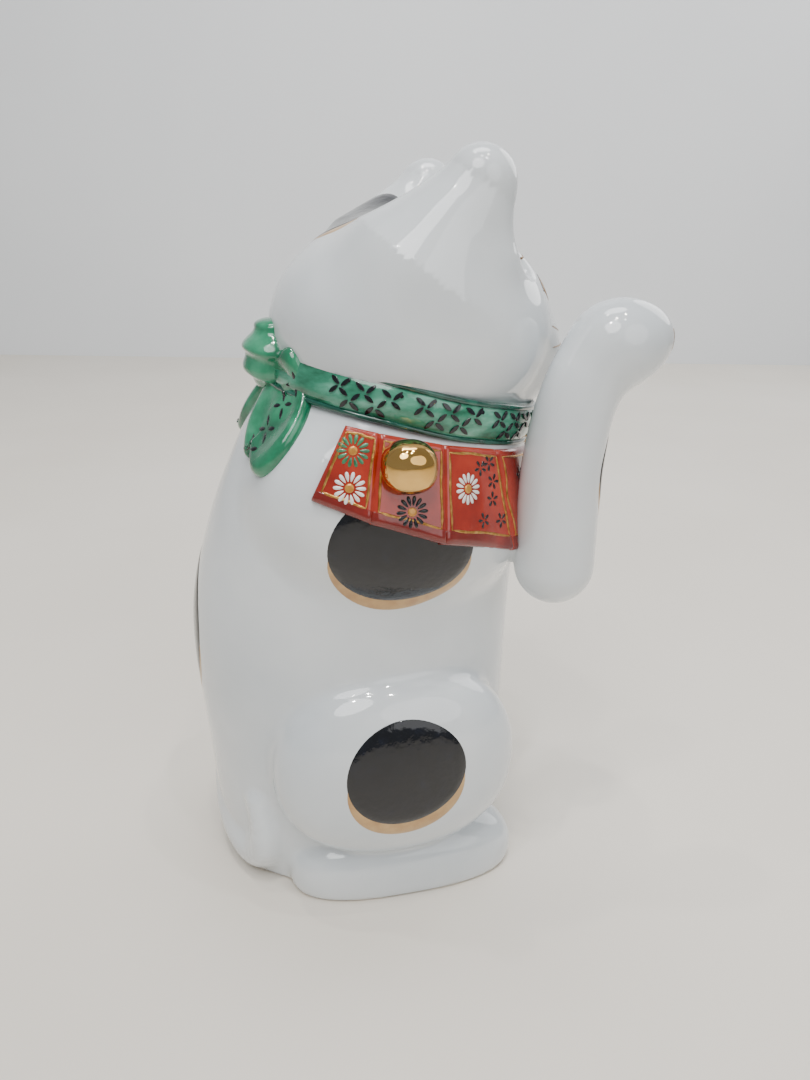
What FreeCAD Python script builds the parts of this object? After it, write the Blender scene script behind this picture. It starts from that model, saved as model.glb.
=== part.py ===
import FreeCAD, Part
import math
import os

# Beckoning cat figurine: a hollow porcelain body and head with limbs, ears, tail, collar, ribbon,
# bib panels and bells luted on. Nothing moves, so every piece is placed where it is fired.
#
# Millimetres. The cat sits facing -Y with its right side towards -X, +Z is up, and the origin is the
# middle of the flat base. Each piece is cut to the pieces that it is luted against, so neighbours
# meet face to face and never overlap.

doc = FreeCAD.newDocument("beckoning_cat")
sheet = doc.addObject("Spreadsheet::Sheet", "Sizes")

# ---------------------------------------------------------------- driving dimensions

SIZES = {
    "wall": 4.5,  # thickness of the slip-cast body and head
    "base_thickness": 5.0,
    "vent_radius": 4.0,  # lets air out of the closed casting in the kiln
    "vent_y": 20.0,
    "room": 400.0,  # side of the box that trims everything below the floor
    "collar_radius": 43.5,  # of the collar's centre line round the neck
    "collar_centre_y": -19.5,
    "collar_z": 186.5,
    "collar_tilt": 13.0,  # the collar stands high at the nape
    "collar_half_width": 6.0,
    "collar_half_thickness": 6.0,  # the inner part is trimmed away by the neck
    "bib_centre_y": -11.0,  # the bib's panels fan out round this upright axis
    "bib_top_x": 53.0,
    "bib_top_y": 55.0,
    "bib_hem_x": 63.0,
    "bib_hem_y": 58.0,
    "bib_top_front_z": 168.0,
    "bib_top_slope": 0.22,  # rise towards the back per millimetre, along the collar
    "bib_hem_front_z": 131.5,
    "bib_hem_slope": 0.34,
    "bib_root_share": 0.6,  # a panel reaches in this far towards the axis before it is trimmed
}

# Body sections from the floor up: centre Y, Z, half width, half depth, how far the rear edge tips up
BODY = [
    (-3.0, 0.0, 43.5, 54.5, 0.0),
    (-2.0, 12.0, 45.0, 57.0, 0.0),
    (-1.0, 45.0, 46.5, 60.0, 0.0),
    (-0.5, 80.0, 48.0, 61.0, 0.0),
    (-1.0, 110.0, 48.5, 61.0, 1.0),
    (-3.5, 132.0, 48.5, 59.3, 3.0),
    (-7.5, 152.0, 48.0, 56.0, 5.5),
    (-11.5, 170.0, 46.5, 52.0, 9.0),
    (-19.0, 185.0, 41.5, 42.5, 13.0),
    (-20.0, 198.0, 37.0, 38.5, 13.0),
]

# Limbs that are lofted along a line: X, Y, Z, two half sizes, then the turn about Z and the lean
# away from upright of the line there
LIMBS = {
    "forearm": [
        (-45.0, -65.5, 131.0, 14.0, 14.2, 90.0, 0.0),
        (-45.0, -65.0, 148.0, 14.0, 14.2, 90.0, 0.0),
        (-45.0, -65.3, 170.0, 13.4, 13.6, 90.0, -3.0),
        (-45.0, -68.3, 188.0, 13.0, 13.2, 90.0, -16.0),
        (-45.0, -75.5, 203.0, 13.0, 13.4, 90.0, -36.0),
    ],
    "foreleg": [
        (34.0, -30.0, 142.0, 20.0, 23.0, 90.0, 0.0),
        (31.0, -45.0, 100.0, 17.0, 18.0, 90.0, 0.0),
        (27.0, -57.0, 62.0, 15.0, 16.0, 90.0, 0.0),
        (25.0, -60.0, 30.0, 14.0, 15.0, 90.0, 0.0),
        (25.0, -61.0, 0.0, 14.0, 15.0, 90.0, 0.0),
    ],
    "tail": [
        (12.0, 50.0, 36.0, 8.0, 8.0, 180.0, 140.0),
        (-1.0, 51.5, 21.0, 9.5, 9.5, 184.0, 118.0),
        (-14.0, 47.5, 12.0, 10.0, 10.0, 203.0, 95.0),
        (-26.0, 40.0, 13.0, 9.5, 9.5, 214.0, 60.0),
        (-31.5, 37.5, 24.0, 6.5, 6.5, 214.0, 15.0),
        (-33.0, 39.0, 36.0, 4.5, 4.5, 214.0, -8.0),
    ],
}

# Rounded lumps: centre X, Y, Z, three half sizes, then the lean about X (top towards -Y). At a lean
# of 90 the second half size is upright and the third runs front to back
LUMPS = {
    "head": (0.0, -22.5, 208.0, 52.0, 50.0, 39.0, 0.0),
    "ear": (-28.5, -28.0, 235.0, 19.0, 20.0, 31.0, 20.0),
    "muzzle": (0.0, -60.5, 199.5, 25.0, 18.5, 15.0, 0.0),
    "nose": (0.0, -74.0, 214.0, 5.5, 4.5, 4.0, 0.0),
    "upper_arm": (-27.0, -11.0, 150.0, 32.0, 50.0, 34.0, 8.0),
    "tail_tip": (-33.0, 39.0, 36.5, 4.5, 4.5, 4.5, 0.0),
    "elbow": (-45.0, -65.5, 131.0, 14.0, 14.2, 14.0, 0.0),
    "paw": (-45.0, -83.0, 207.5, 14.0, 16.5, 13.5, 0.0),
    "haunch": (-42.0, -7.0, 55.5, 21.0, 43.0, 40.0, 0.0),
    "hind_foot": (-34.0, -13.0, 12.0, 20.0, 45.0, 15.0, 0.0),
    "forepaw": (25.0, -64.5, 7.0, 15.5, 15.5, 11.0, 0.0),
    "knot": (-2.0, 30.0, 203.0, 12.0, 11.0, 9.5, 90.0),
    "ribbon_tail": (-19.0, 34.0, 180.0, 12.5, 8.5, 19.5, -24.0),
    "side_bell": (58.0, -8.5, 173.0, 8.5, 8.3, 8.8, 90.0),
    "front_bell": (0.0, -68.0, 162.0, 9.0, 8.6, 7.0, 90.0),
}

# Edges between the seven bib panels at the top and at the hem, degrees from straight ahead,
# right side positive
BIB_EDGES = {
    "top": [112.0, 101.0, 79.0, 52.0, -52.0, -79.0, -101.0, -112.0],
    "hem": [124.0, 105.0, 81.0, 45.0, -45.0, -81.0, -105.0, -124.0],
}
BIB_NAMES = [
    "bib_panel_right_rear",
    "bib_panel_right_side",
    "bib_panel_right_front",
    "bib_panel_front",
    "bib_panel_left_front",
    "bib_panel_left_side",
    "bib_panel_left_rear",
]

BIB_ARC_STEPS = 4  # spans of the curve along a panel's edge

LOFT_FIELDS = ("x", "y", "z", "half_x", "half_y", "turn", "lean")
LUMP_FIELDS = ("x", "y", "z", "half_x", "half_y", "half_z", "lean")


def fill_sheet():
    """Write every driving dimension to the sheet, one row each, under its alias."""
    values = dict(SIZES)
    body = [(0.0, y, z, half_x, half_y, 90.0, -tip) for y, z, half_x, half_y, tip in BODY]
    lofts = {"body": body, **LIMBS}
    for name, rows in lofts.items():
        for number, row in enumerate(rows):
            values.update({f"{name}_{number}_{field}": v for field, v in zip(LOFT_FIELDS, row)})
    for name, row in LUMPS.items():
        values.update({f"{name}_{field}": v for field, v in zip(LUMP_FIELDS, row)})
    for level, edges in BIB_EDGES.items():
        values.update({f"bib_{level}_edge_{number}": edge for number, edge in enumerate(edges)})
    for row, (alias, value) in enumerate(values.items(), start=1):
        sheet.set(f"A{row}", alias.replace("_", " "))
        sheet.set(f"B{row}", str(value))
        sheet.setAlias(f"B{row}", alias)
    doc.recompute()


# ---------------------------------------------------------------- building blocks


def place(thing, x, y, z, yaw="0", pitch="0", roll="0"):
    """Bind a whole placement to expressions."""
    spot = f"placement(vector({x}; {y}; {z}); rotation({yaw}; {pitch}; {roll}))"
    thing.setExpression("Placement", spot)


def lump(name, inset="0"):
    """An ellipsoid from the LUMPS table, made smaller all round by inset."""
    body = doc.addObject("Part::Ellipsoid", f"{name}_lump")
    size = f"Sizes.{name}_"
    body.setExpression("Radius1", f"{size}half_z - {inset}")
    body.setExpression("Radius2", f"{size}half_x - {inset}")
    body.setExpression("Radius3", f"{size}half_y - {inset}")
    place(body, f"{size}x", f"{size}y", f"{size}z", roll=f"{size}lean")
    return body


def loft(name, count, inset="0", ruled=False):
    """A solid through count elliptical sections, made smaller all round by inset."""
    rings = []
    for number in range(count):
        ring = doc.addObject("Part::Ellipse", f"{name}_section")
        size = f"Sizes.{name}_{number}_"
        ring.setExpression("MajorRadius", f"{size}half_y - {inset}")
        ring.setExpression("MinorRadius", f"{size}half_x - {inset}")
        place(ring, f"{size}x", f"{size}y", f"{size}z", f"{size}turn", f"{size}lean")
        rings.append(ring)
    solid = doc.addObject("Part::Loft", f"{name}_loft")
    solid.Sections = rings
    solid.Solid = True
    solid.Ruled = ruled
    return solid


def cut(label, base, *tools):
    """Cut each tool from base in turn; the last cut carries the label."""
    for tool in tools:
        step = doc.addObject("Part::Cut", "trim")
        step.Base = base
        step.Tool = tool
        base = step
    base.Label = label
    return base


def common(label, first, second):
    """What two solids share."""
    shared = doc.addObject("Part::Common", label)
    shared.Base = first
    shared.Tool = second
    shared.Label = label
    return shared


def fuse(label, first, second):
    """One solid from two."""
    whole = doc.addObject("Part::Fuse", label)
    whole.Base = first
    whole.Tool = second
    whole.Label = label
    return whole


def mirror(label, source):
    """The twin of a piece on the cat's other side."""
    twin = doc.addObject("Part::Mirroring", label)
    twin.Source = source
    twin.Normal = FreeCAD.Vector(1, 0, 0)
    twin.Label = label
    return twin


# ---------------------------------------------------------------- the castings


def body_and_base():
    """The hollow torso casting and the disc that closes its floor."""
    outer = loft("body", len(BODY))
    inner = loft("body", len(BODY), inset="Sizes.wall")
    floor_slab = doc.addObject("Part::Box", "floor_slab")
    for side in ("Length", "Width"):
        floor_slab.setExpression(side, "Sizes.room")
    floor_slab.setExpression("Height", "Sizes.base_thickness")
    place(floor_slab, "-Sizes.room / 2", "-Sizes.room / 2", "0")
    vent = doc.addObject("Part::Cylinder", "vent")
    vent.setExpression("Radius", "Sizes.vent_radius")
    vent.setExpression("Height", "Sizes.base_thickness")
    place(vent, "0", "Sizes.vent_y", "0")
    disc = cut("base_disc", common("base_blank", outer, floor_slab), vent)
    shell = cut("torso_shell", outer, floor_slab, inner)
    return outer, shell, disc


def head_pieces(torso):
    """The hollow head casting with ears, muzzle and nose; also the head's outer solid for cutting."""
    outer = lump("head")
    inner = lump("head", inset="Sizes.wall")
    shell = cut("head_shell", outer, inner, torso)
    right_ear = cut("right_ear", lump("ear"), outer)
    muzzle = cut("muzzle", lump("muzzle"), outer, torso)
    nose = cut("nose", lump("nose"), outer, muzzle)
    return outer, [shell, right_ear, mirror("left_ear", right_ear), muzzle, nose]


def above_floor():
    """A large box standing on the floor: what lies outside it is trimmed off."""
    box = doc.addObject("Part::Box", "above_floor")
    for side in ("Length", "Width", "Height"):
        box.setExpression(side, "Sizes.room")
    place(box, "-Sizes.room / 2", "-Sizes.room / 2", "0")
    return box


def limb_pieces(torso, head, room):
    """Arms, legs, feet and tail, each trimmed to what it is luted against."""
    upper_arm = cut("right_upper_arm", lump("upper_arm"), torso, head)
    left_upper_arm = mirror("left_upper_arm", upper_arm)
    arm = fuse("forearm_blank", loft("forearm", len(LIMBS["forearm"])), lump("elbow"))
    forearm = cut("raised_forearm", arm, torso, upper_arm, head)
    paw = cut("raised_paw", lump("paw"), arm)

    haunch = cut("right_haunch", lump("haunch"), torso)
    left_haunch = mirror("left_haunch", haunch)
    foot = cut("right_hind_foot", common("foot_blank", lump("hind_foot"), room), torso, haunch)
    left_foot = mirror("left_hind_foot", foot)

    leg = loft("foreleg", len(LIMBS["foreleg"]))
    foreleg = cut("left_foreleg", leg, torso, left_upper_arm, left_haunch, left_foot)
    paw_blank = common("forepaw_blank", lump("forepaw"), room)
    forepaw = cut("left_forepaw", paw_blank, torso, leg, left_foot)

    curl = fuse("tail_curl", loft("tail", len(LIMBS["tail"]), ruled=True), lump("tail_tip"))
    tail = cut("tail", common("tail_blank", curl, room), torso, haunch, foot)
    pieces = [upper_arm, left_upper_arm, forearm, paw, haunch, left_haunch, foot, left_foot]
    return arm, upper_arm, left_upper_arm, pieces + [foreleg, forepaw, tail]


# ---------------------------------------------------------------- collar, ribbon, bib and bells


def collar_piece(*neighbours):
    """A rounded band swept round the neck on a tilted circle."""
    path = doc.addObject("Part::Circle", "collar_path")
    path.setExpression("Radius", "Sizes.collar_radius")
    place(path, "0", "Sizes.collar_centre_y", "Sizes.collar_z", roll="Sizes.collar_tilt")
    section = doc.addObject("Part::Ellipse", "collar_section")
    section.setExpression("MajorRadius", "Sizes.collar_half_width")
    section.setExpression("MinorRadius", "Sizes.collar_half_thickness")
    start = ("Sizes.collar_radius", "Sizes.collar_centre_y", "Sizes.collar_z")
    place(section, *start, "-90", "Sizes.collar_tilt - 90")
    band = doc.addObject("Part::Sweep", "collar_sweep")
    band.Sections = [section]
    band.Spine = (path, [])
    band.Solid = True
    return cut("collar_band", band, *neighbours)


def bib_point(angle, level, reach):
    """A point on the bib's top or hem plane, angle degrees from straight ahead, at a share of its reach."""
    turn = math.radians(angle)
    depth = sheet.get(f"bib_{level}_y")
    x = -sheet.get(f"bib_{level}_x") * math.sin(turn) * reach
    y = -depth * math.cos(turn) * reach
    z = sheet.get(f"bib_{level}_front_z") + sheet.get(f"bib_{level}_slope") * (y + depth)
    return FreeCAD.Vector(x, y + sheet.get("bib_centre_y"), z)


def bib_blank(number):
    """One panel: a wedge from the bib's outer face in towards its axis, not yet trimmed."""
    rings = []
    for level in ("top", "hem"):
        start, end = (sheet.get(f"bib_{level}_edge_{number + side}") for side in (0, 1))
        angles = [start + (end - start) * step / BIB_ARC_STEPS for step in range(BIB_ARC_STEPS + 1)]
        arc = Part.BSplineCurve()
        arc.interpolate([bib_point(angle, level, 1) for angle in angles])
        inner = [bib_point(angle, level, sheet.get("bib_root_share")) for angle in (end, start)]
        sides = Part.makePolygon([arc.EndPoint] + inner + [arc.StartPoint])
        rings.append(Part.Wire([arc.toShape()] + sides.Edges))
    blank = doc.addObject("Part::Feature", "bib_blank")
    blank.Shape = Part.makeLoft(rings, True, True)
    blank.Placement = FreeCAD.Placement()
    return blank


def dress_pieces(torso, head, arm, upper_arm, left_upper_arm):
    """Collar, bow, ribbon tails, bells and the seven bib panels."""
    collar = collar_piece(torso, head)
    knot = cut("bow_knot", lump("knot"), torso, head, collar)
    right_tail = cut("right_ribbon_tail", lump("ribbon_tail"), torso, upper_arm, head, collar, knot)
    left_tail = mirror("left_tail_blank", lump("ribbon_tail"))
    left_tail = cut("left_ribbon_tail", left_tail, torso, left_upper_arm, head, collar, knot)
    left_bell = cut("left_bell", lump("side_bell"), torso, left_upper_arm, collar)
    right_bell = mirror("right_bell", left_bell)
    front_bell = cut("front_bell", lump("front_bell"), torso, collar)
    pieces = [collar, knot, right_tail, left_tail, right_bell, left_bell, front_bell]
    solids = [torso, upper_arm, left_upper_arm, arm, collar, right_bell, left_bell, front_bell]
    for number, name in enumerate(BIB_NAMES):
        pieces.append(cut(name, bib_blank(number), *solids))
    return pieces


def check(pieces):
    """Stop if an object failed or a piece isn't one valid solid."""
    failed = [o.Name for o in doc.Objects if {"Invalid", "Error"} & set(o.State)]
    if failed:
        raise RuntimeError(f"failed: {failed}")
    for piece in pieces:
        shape = piece.Shape
        if shape.isNull() or not shape.isValid() or len(shape.Solids) != 1:
            raise RuntimeError(f"{piece.Label}: {len(shape.Solids)} solids, not one valid solid")
        print(f"{piece.Label:24s} {shape.Volume / 1000:8.2f} cm3")


fill_sheet()
torso, torso_shell, base_disc = body_and_base()
head, head_nodes = head_pieces(torso)
arm, upper_arm, left_upper_arm, limb_nodes = limb_pieces(torso, head, above_floor())
dress_nodes = dress_pieces(torso, head, arm, upper_arm, left_upper_arm)
nodes = [torso_shell, base_disc] + head_nodes + limb_nodes + dress_nodes
doc.recompute()
check(nodes)

os.makedirs("parts", exist_ok=True)
for node in nodes:
    node.Shape.exportStep(f"parts/{node.Label}.step")
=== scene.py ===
"""Beckoning cat figurine: the glazed porcelain, enamels and gold over the fixed CAD frame.

The white porcelain is one smooth distance field made of the same lumps as the castings. Its surface is
meshed once and shared out between the castings, so glaze runs over every luted joint without a step.
Lengths in this script are millimetres until a mesh is written.
"""

import math

import bpy
import numpy as np
from mathutils import Matrix, Vector
from mathutils.bvhtree import BVHTree


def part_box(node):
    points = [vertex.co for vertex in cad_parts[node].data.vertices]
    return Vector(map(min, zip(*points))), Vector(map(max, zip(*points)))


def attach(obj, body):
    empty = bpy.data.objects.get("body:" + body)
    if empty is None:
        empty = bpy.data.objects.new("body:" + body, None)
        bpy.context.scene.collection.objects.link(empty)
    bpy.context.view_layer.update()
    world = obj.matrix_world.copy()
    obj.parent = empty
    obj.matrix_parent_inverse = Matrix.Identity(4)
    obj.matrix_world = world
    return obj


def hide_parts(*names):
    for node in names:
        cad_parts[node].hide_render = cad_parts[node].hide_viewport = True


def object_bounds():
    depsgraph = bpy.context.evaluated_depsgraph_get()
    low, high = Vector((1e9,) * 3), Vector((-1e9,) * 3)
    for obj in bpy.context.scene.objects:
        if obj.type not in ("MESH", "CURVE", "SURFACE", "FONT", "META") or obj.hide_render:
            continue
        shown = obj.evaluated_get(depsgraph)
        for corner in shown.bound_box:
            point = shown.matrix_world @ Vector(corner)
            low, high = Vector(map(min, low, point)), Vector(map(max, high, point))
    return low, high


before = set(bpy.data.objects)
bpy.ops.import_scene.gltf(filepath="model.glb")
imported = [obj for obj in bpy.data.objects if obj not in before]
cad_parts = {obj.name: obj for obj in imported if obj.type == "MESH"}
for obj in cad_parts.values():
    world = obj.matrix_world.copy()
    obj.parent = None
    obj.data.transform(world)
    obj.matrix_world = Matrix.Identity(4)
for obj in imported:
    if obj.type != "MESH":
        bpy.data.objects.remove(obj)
cad_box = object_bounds()

MM = 0.001
GRID = 1.65  # size of the field's cells
BODY = "root"


# ---------------------------------------------------------------- places taken from the frame


def box_mm(node):
    """A node's lowest and highest corners in millimetres."""
    low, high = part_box(node)
    return np.array(low) / MM, np.array(high) / MM


def held(node, half, ends="mmm"):
    """Centre of a lump of half sizes inside a node's box: l, m or h says which side it touches."""
    low, high = box_mm(node)
    half = np.array(half, float)
    places = {"l": low + half, "m": (low + high) / 2, "h": high - half}
    return np.array([places[end][axis] for axis, end in enumerate(ends)])


def flip(point):
    """The same place on the cat's other side."""
    return np.array(point, float) * (-1, 1, 1)


# ---------------------------------------------------------------- distance fields


def spline(knots, values, at):
    """Natural cubic spline through values at knots."""
    knots, values, at = (np.asarray(a, float) for a in (knots, values, at))
    count = len(knots)
    gap = np.diff(knots)
    matrix, right = np.eye(count), np.zeros((count,) + values.shape[1:])
    rise = np.diff(values, axis=0) / gap.reshape((-1,) + (1,) * (values.ndim - 1))
    for i in range(1, count - 1):
        matrix[i, i - 1 : i + 2] = gap[i - 1], 2 * (gap[i - 1] + gap[i]), gap[i]
        right[i] = 6 * (rise[i] - rise[i - 1])
    bend = np.linalg.solve(matrix, right)
    i = np.clip(np.searchsorted(knots, at) - 1, 0, count - 2)
    shape = (-1,) + (1,) * (values.ndim - 1)
    width = gap[i].reshape(shape)
    left, rest = (knots[i + 1] - at).reshape(shape), (at - knots[i]).reshape(shape)
    curve = (bend[i] * left**3 + bend[i + 1] * rest**3) / (6 * width)
    curve += (values[i] / width - bend[i] * width / 6) * left
    return curve + (values[i + 1] / width - bend[i + 1] * width / 6) * rest


def blend_min(a, b, k):
    """Union of two fields with a fillet of about k."""
    h = np.maximum(k - np.abs(a - b), 0) / k
    return np.minimum(a, b) - h * h * k / 4


def blend_max(a, b, k):
    """Intersection of two fields with an edge rounded by about k."""
    return -blend_min(-a, -b, k)


def lump(centre, half, lean=0.0, power=2.0):
    """Field of an ellipsoid leaning about X, squarer where power is above 2."""
    centre, half = np.array(centre, float), np.array(half, float)
    c, s = math.cos(math.radians(-lean)), math.sin(math.radians(-lean))

    def distance(points):
        q = points - centre
        q = np.stack([q[:, 0], c * q[:, 1] - s * q[:, 2], s * q[:, 1] + c * q[:, 2]], 1)
        q = np.abs(q) / half
        size = (q**power).sum(1) ** (1 / power)
        steep = np.sqrt(((q ** (power - 1) / half) ** 2).sum(1)) / np.maximum(size, 1e-6) ** (power - 1)
        return (size - 1) / np.maximum(steep, 1e-6)

    return distance


def limb(points, radii, steps=8):
    """Field of a round limb along a smooth line of points with a radius at each."""
    points, radii = np.array(points, float), np.array(radii, float)
    knots = np.arange(len(points))
    at = np.linspace(0, len(points) - 1, (len(points) - 1) * steps + 1)
    path, size = spline(knots, points, at), spline(knots, radii, at)

    def distance(where):
        best = np.full(len(where), 1e9)
        for a, b, ra, rb in zip(path[:-1], path[1:], size[:-1], size[1:]):
            along = b - a
            t = np.clip((where - a) @ along / (along @ along), 0, 1)
            gap = np.linalg.norm(where - a - t[:, None] * along, axis=1)
            best = np.minimum(best, gap - ra - t * (rb - ra))
        return best

    return distance


def torso_field(rows, power):
    """Field of the seated body: rows of height, centre Y, half width, half depth."""
    rows = np.array(rows, float)

    def distance(points):
        z = np.clip(points[:, 2], rows[0, 0], rows[-1, 0])
        centre, wide, deep = spline(rows[:, 0], rows[:, 1:], z).T
        q = np.abs(np.stack([points[:, 0] / wide, (points[:, 1] - centre) / deep], 1))
        size = (q**power).sum(1) ** (1 / power)
        side = (size - 1) * np.minimum(wide, deep)
        return blend_max(side, points[:, 2] - rows[-1, 0], 12.0)

    return distance


# ---------------------------------------------------------------- the cat's castings

TORSO_ROWS = [  # height, centre Y, half width, half depth
    (0.0, -2.5, 43.0, 54.5),
    (12.0, -2.5, 44.5, 57.0),
    (45.0, -2.0, 45.5, 60.0),
    (80.0, -1.0, 46.5, 61.5),
    (110.0, -1.5, 47.0, 61.5),
    (132.0, -4.5, 48.0, 59.5),
    (150.0, -8.0, 48.5, 57.0),
    (165.0, -11.5, 48.0, 54.0),
    (180.0, -15.5, 45.0, 50.0),
    (195.0, -19.5, 40.0, 43.0),
    (210.0, -21.0, 36.0, 38.0),
]
SHOULDER, HAUNCH, HIND_FOOT = (33, 50, 38), (22, 45.5, 37.5), (19, 45, 17)
SKULL, MUZZLE, NOSE = (52, 50, 39), (25, 19, 19), (5, 4, 3.6)
BIB_SIZES = {"top": (53.0, 55.0, 168.0, 0.22), "hem": (63.0, 58.0, 131.5, 0.34)}
BIB_CENTRE_Y = -11.0
PAW, FOREPAW = (13.4, 16, 13.2), (14.5, 14, 11)

shoulder_spot = held("right_upper_arm", SHOULDER, "lmm")
haunch_spot = held("right_haunch", HAUNCH, "lmm")
foot_spot = held("right_hind_foot", HIND_FOOT, "lmh")
haunch_spot += (0.5, -2.0, 0.5)
foot_spot += (0, 0, -0.5)
skull_spot = held("head_shell", SKULL, "mmh")
muzzle_spot = held("muzzle", MUZZLE, "mlm") + (0, 0.3, 1.0)
nose_spot = held("nose", NOSE, "mlm") + (0, 0.6, 0)
ear_high = box_mm("right_ear")[1]
ear_tip = np.array([-31.5, -36.6, ear_high[2] - 10.4])
ear_root = np.array([-27.0, -20.5, 230.0])
ear_front = np.array([-33.0, -37.6, 234.0])
arm_low, arm_high = box_mm("raised_forearm")
arm_x = (arm_low[0] + arm_high[0]) / 2
paw_spot = held("raised_paw", PAW, "mlm")

ARM_PATH = [
    (arm_x, -65.0, arm_low[2] + 14.0),
    (arm_x, -64.8, 148.0),
    (arm_x, -64.8, 164.0),
    (arm_x, -66.6, 180.0),
    (arm_x, -71.0, 195.0),
    (arm_x, -78.5, 205.5),
]
LEG_PATH = [
    (33.0, -34.0, 138.0),
    (31.0, -45.5, 104.0),
    (27.5, -56.5, 66.0),
    (25.5, -60.5, 34.0),
    (25.0, -61.5, 10.0),
]
TAIL_PATH = [
    (14.0, 48.5, 34.0),
    (0.0, 49.0, 20.0),
    (-13.0, 46.0, 11.0),
    (-24.0, 41.5, 10.0),
    (-31.0, 39.5, 18.0),
    (-32.0, 40.5, 28.0),
    (-30.5, 42.0, 36.5),
]

def ear(side):
    """A broad ear: a cone up to its tip and an upright ridge down its front edge; side 1 is the right."""
    keep = (side, 1, 1)
    cone = limb([ear_root * keep, ear_tip * keep], (23.0, 10.4), 1)
    ridge = limb([ear_tip * keep, ear_front * keep], (9.8, 9.6), 1)

    def distance(points):
        return blend_min(cone(points), ridge(points), 5.0)

    return distance


def bib_room(points):
    """How far the white clay may come forward under the bib: negative inside the bib's own thickness."""
    q = points - (0, BIB_CENTRE_Y, 0)
    edges = []
    for half_x, half_y, front_z, rise in BIB_SIZES.values():
        edges.append((half_x, half_y, front_z + rise * (q[:, 1] + half_y)))
    (top_x, top_y, top_z), (hem_x, hem_y, hem_z) = edges
    v = (top_z - points[:, 2]) / (top_z - hem_z)
    share = np.clip(v, 0, 1.1)
    half_x, half_y = top_x + (hem_x - top_x) * share, top_y + (hem_y - top_y) * share
    reach = np.sqrt((q[:, 0] / half_x) ** 2 + (q[:, 1] / half_y) ** 2)
    free = 45.0 * np.maximum(v - 0.97, 0) + 30.0 * np.maximum(-0.15 - v, 0)
    behind = np.maximum(q[:, 1] / half_y / np.maximum(reach, 0.2) - 0.5, 0) * 30.0
    return (reach - 1) * np.minimum(half_x, half_y) + 2.4 - free - behind


def under_bib(field):
    """A field trimmed back to leave the bib its bed."""
    return lambda points: blend_max(field(points), bib_room(points), 1.5)


CASTINGS = [  # node, field, fillet where it meets those above
    ("torso_shell", torso_field(TORSO_ROWS, 2.15), 1.0),
    ("right_upper_arm", under_bib(lump(shoulder_spot, SHOULDER, 8)), 5.0),
    ("left_upper_arm", under_bib(lump(flip(shoulder_spot), SHOULDER, 8)), 5.0),
    ("right_haunch", lump(haunch_spot, HAUNCH, 0, 2.3), 3.6),
    ("left_haunch", lump(flip(haunch_spot), HAUNCH, 0, 2.3), 3.6),
    ("right_hind_foot", lump(foot_spot, HIND_FOOT, 0, 2.6), 2.6),
    ("left_hind_foot", lump(flip(foot_spot), HIND_FOOT, 0, 2.6), 2.6),
    ("left_foreleg", under_bib(limb(LEG_PATH, (23.0, 18.0, 15.0, 13.6, 13.6))), 6.0),
    ("left_forepaw", lump(held("left_forepaw", FOREPAW, "mlm"), FOREPAW), 4.0),
    ("tail", limb(TAIL_PATH, (7.0, 8.6, 9.0, 8.6, 7.0, 5.2, 4.2)), 3.4),
    ("head_shell", lump(skull_spot, SKULL, 0, 2.0), 4.0),
    ("right_ear", ear(1), 12.0),
    ("left_ear", ear(-1), 12.0),
    ("muzzle", lump(muzzle_spot, MUZZLE), 7.0),
    ("nose", lump(nose_spot, NOSE), 2.2),
    ("raised_forearm", limb(ARM_PATH, (14.0, 13.9, 13.6, 13.1, 12.9, 13.2)), 2.6),
    ("raised_paw", lump(paw_spot, PAW, -8), 7.0),
]
NAMES = [name for name, _, _ in CASTINGS]
EAR_HOLLOW = lump((26.5, -53.5, 243.0), (9.5, 12.0, 17.0), 6)
FLOOR_EDGE = 1.6  # rounding round the foot of the base


def glaze(points):
    """Distance from the cat's glazed surface."""
    total = None
    for _, distance, fillet in CASTINGS:
        own = distance(points)
        total = own if total is None else blend_min(total, own, fillet)
    both_sides = np.stack([np.abs(points[:, 0]), points[:, 1], points[:, 2]], 1)
    total = blend_max(total, -EAR_HOLLOW(both_sides), 3.0)
    return blend_max(total, -points[:, 2], FLOOR_EDGE)


def outward(points, field=glaze, reach=0.05):
    """Unit normals of a field."""
    steps = np.eye(3) * reach
    rise = np.stack([field(points + step) - field(points - step) for step in steps], 1)
    return rise / np.maximum(np.linalg.norm(rise, axis=1, keepdims=True), 1e-9)


def settle(points, field=glaze, times=3):
    """Points moved onto a field's surface."""
    for _ in range(times):
        points = points - np.clip(field(points), -1, 1)[:, None] * outward(points, field)
    return points


# ---------------------------------------------------------------- meshing the glaze


def sample(field, low, counts, step):
    """The field at every grid point; only points near the surface are worked out in full."""
    coarse = 4
    rough = [low[i] + step * np.arange(0, counts[i], coarse) for i in range(3)]
    grid = np.stack(np.meshgrid(*rough, indexing="ij"), -1).reshape(-1, 3)
    values = field(grid).reshape([len(r) for r in rough])
    for axis in range(3):
        values = np.repeat(values, coarse, axis=axis).take(range(counts[axis]), axis=axis)
    near = np.abs(values) < coarse * step * 2.4
    values[near] = field(np.argwhere(near) * step + low)
    return values


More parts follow.
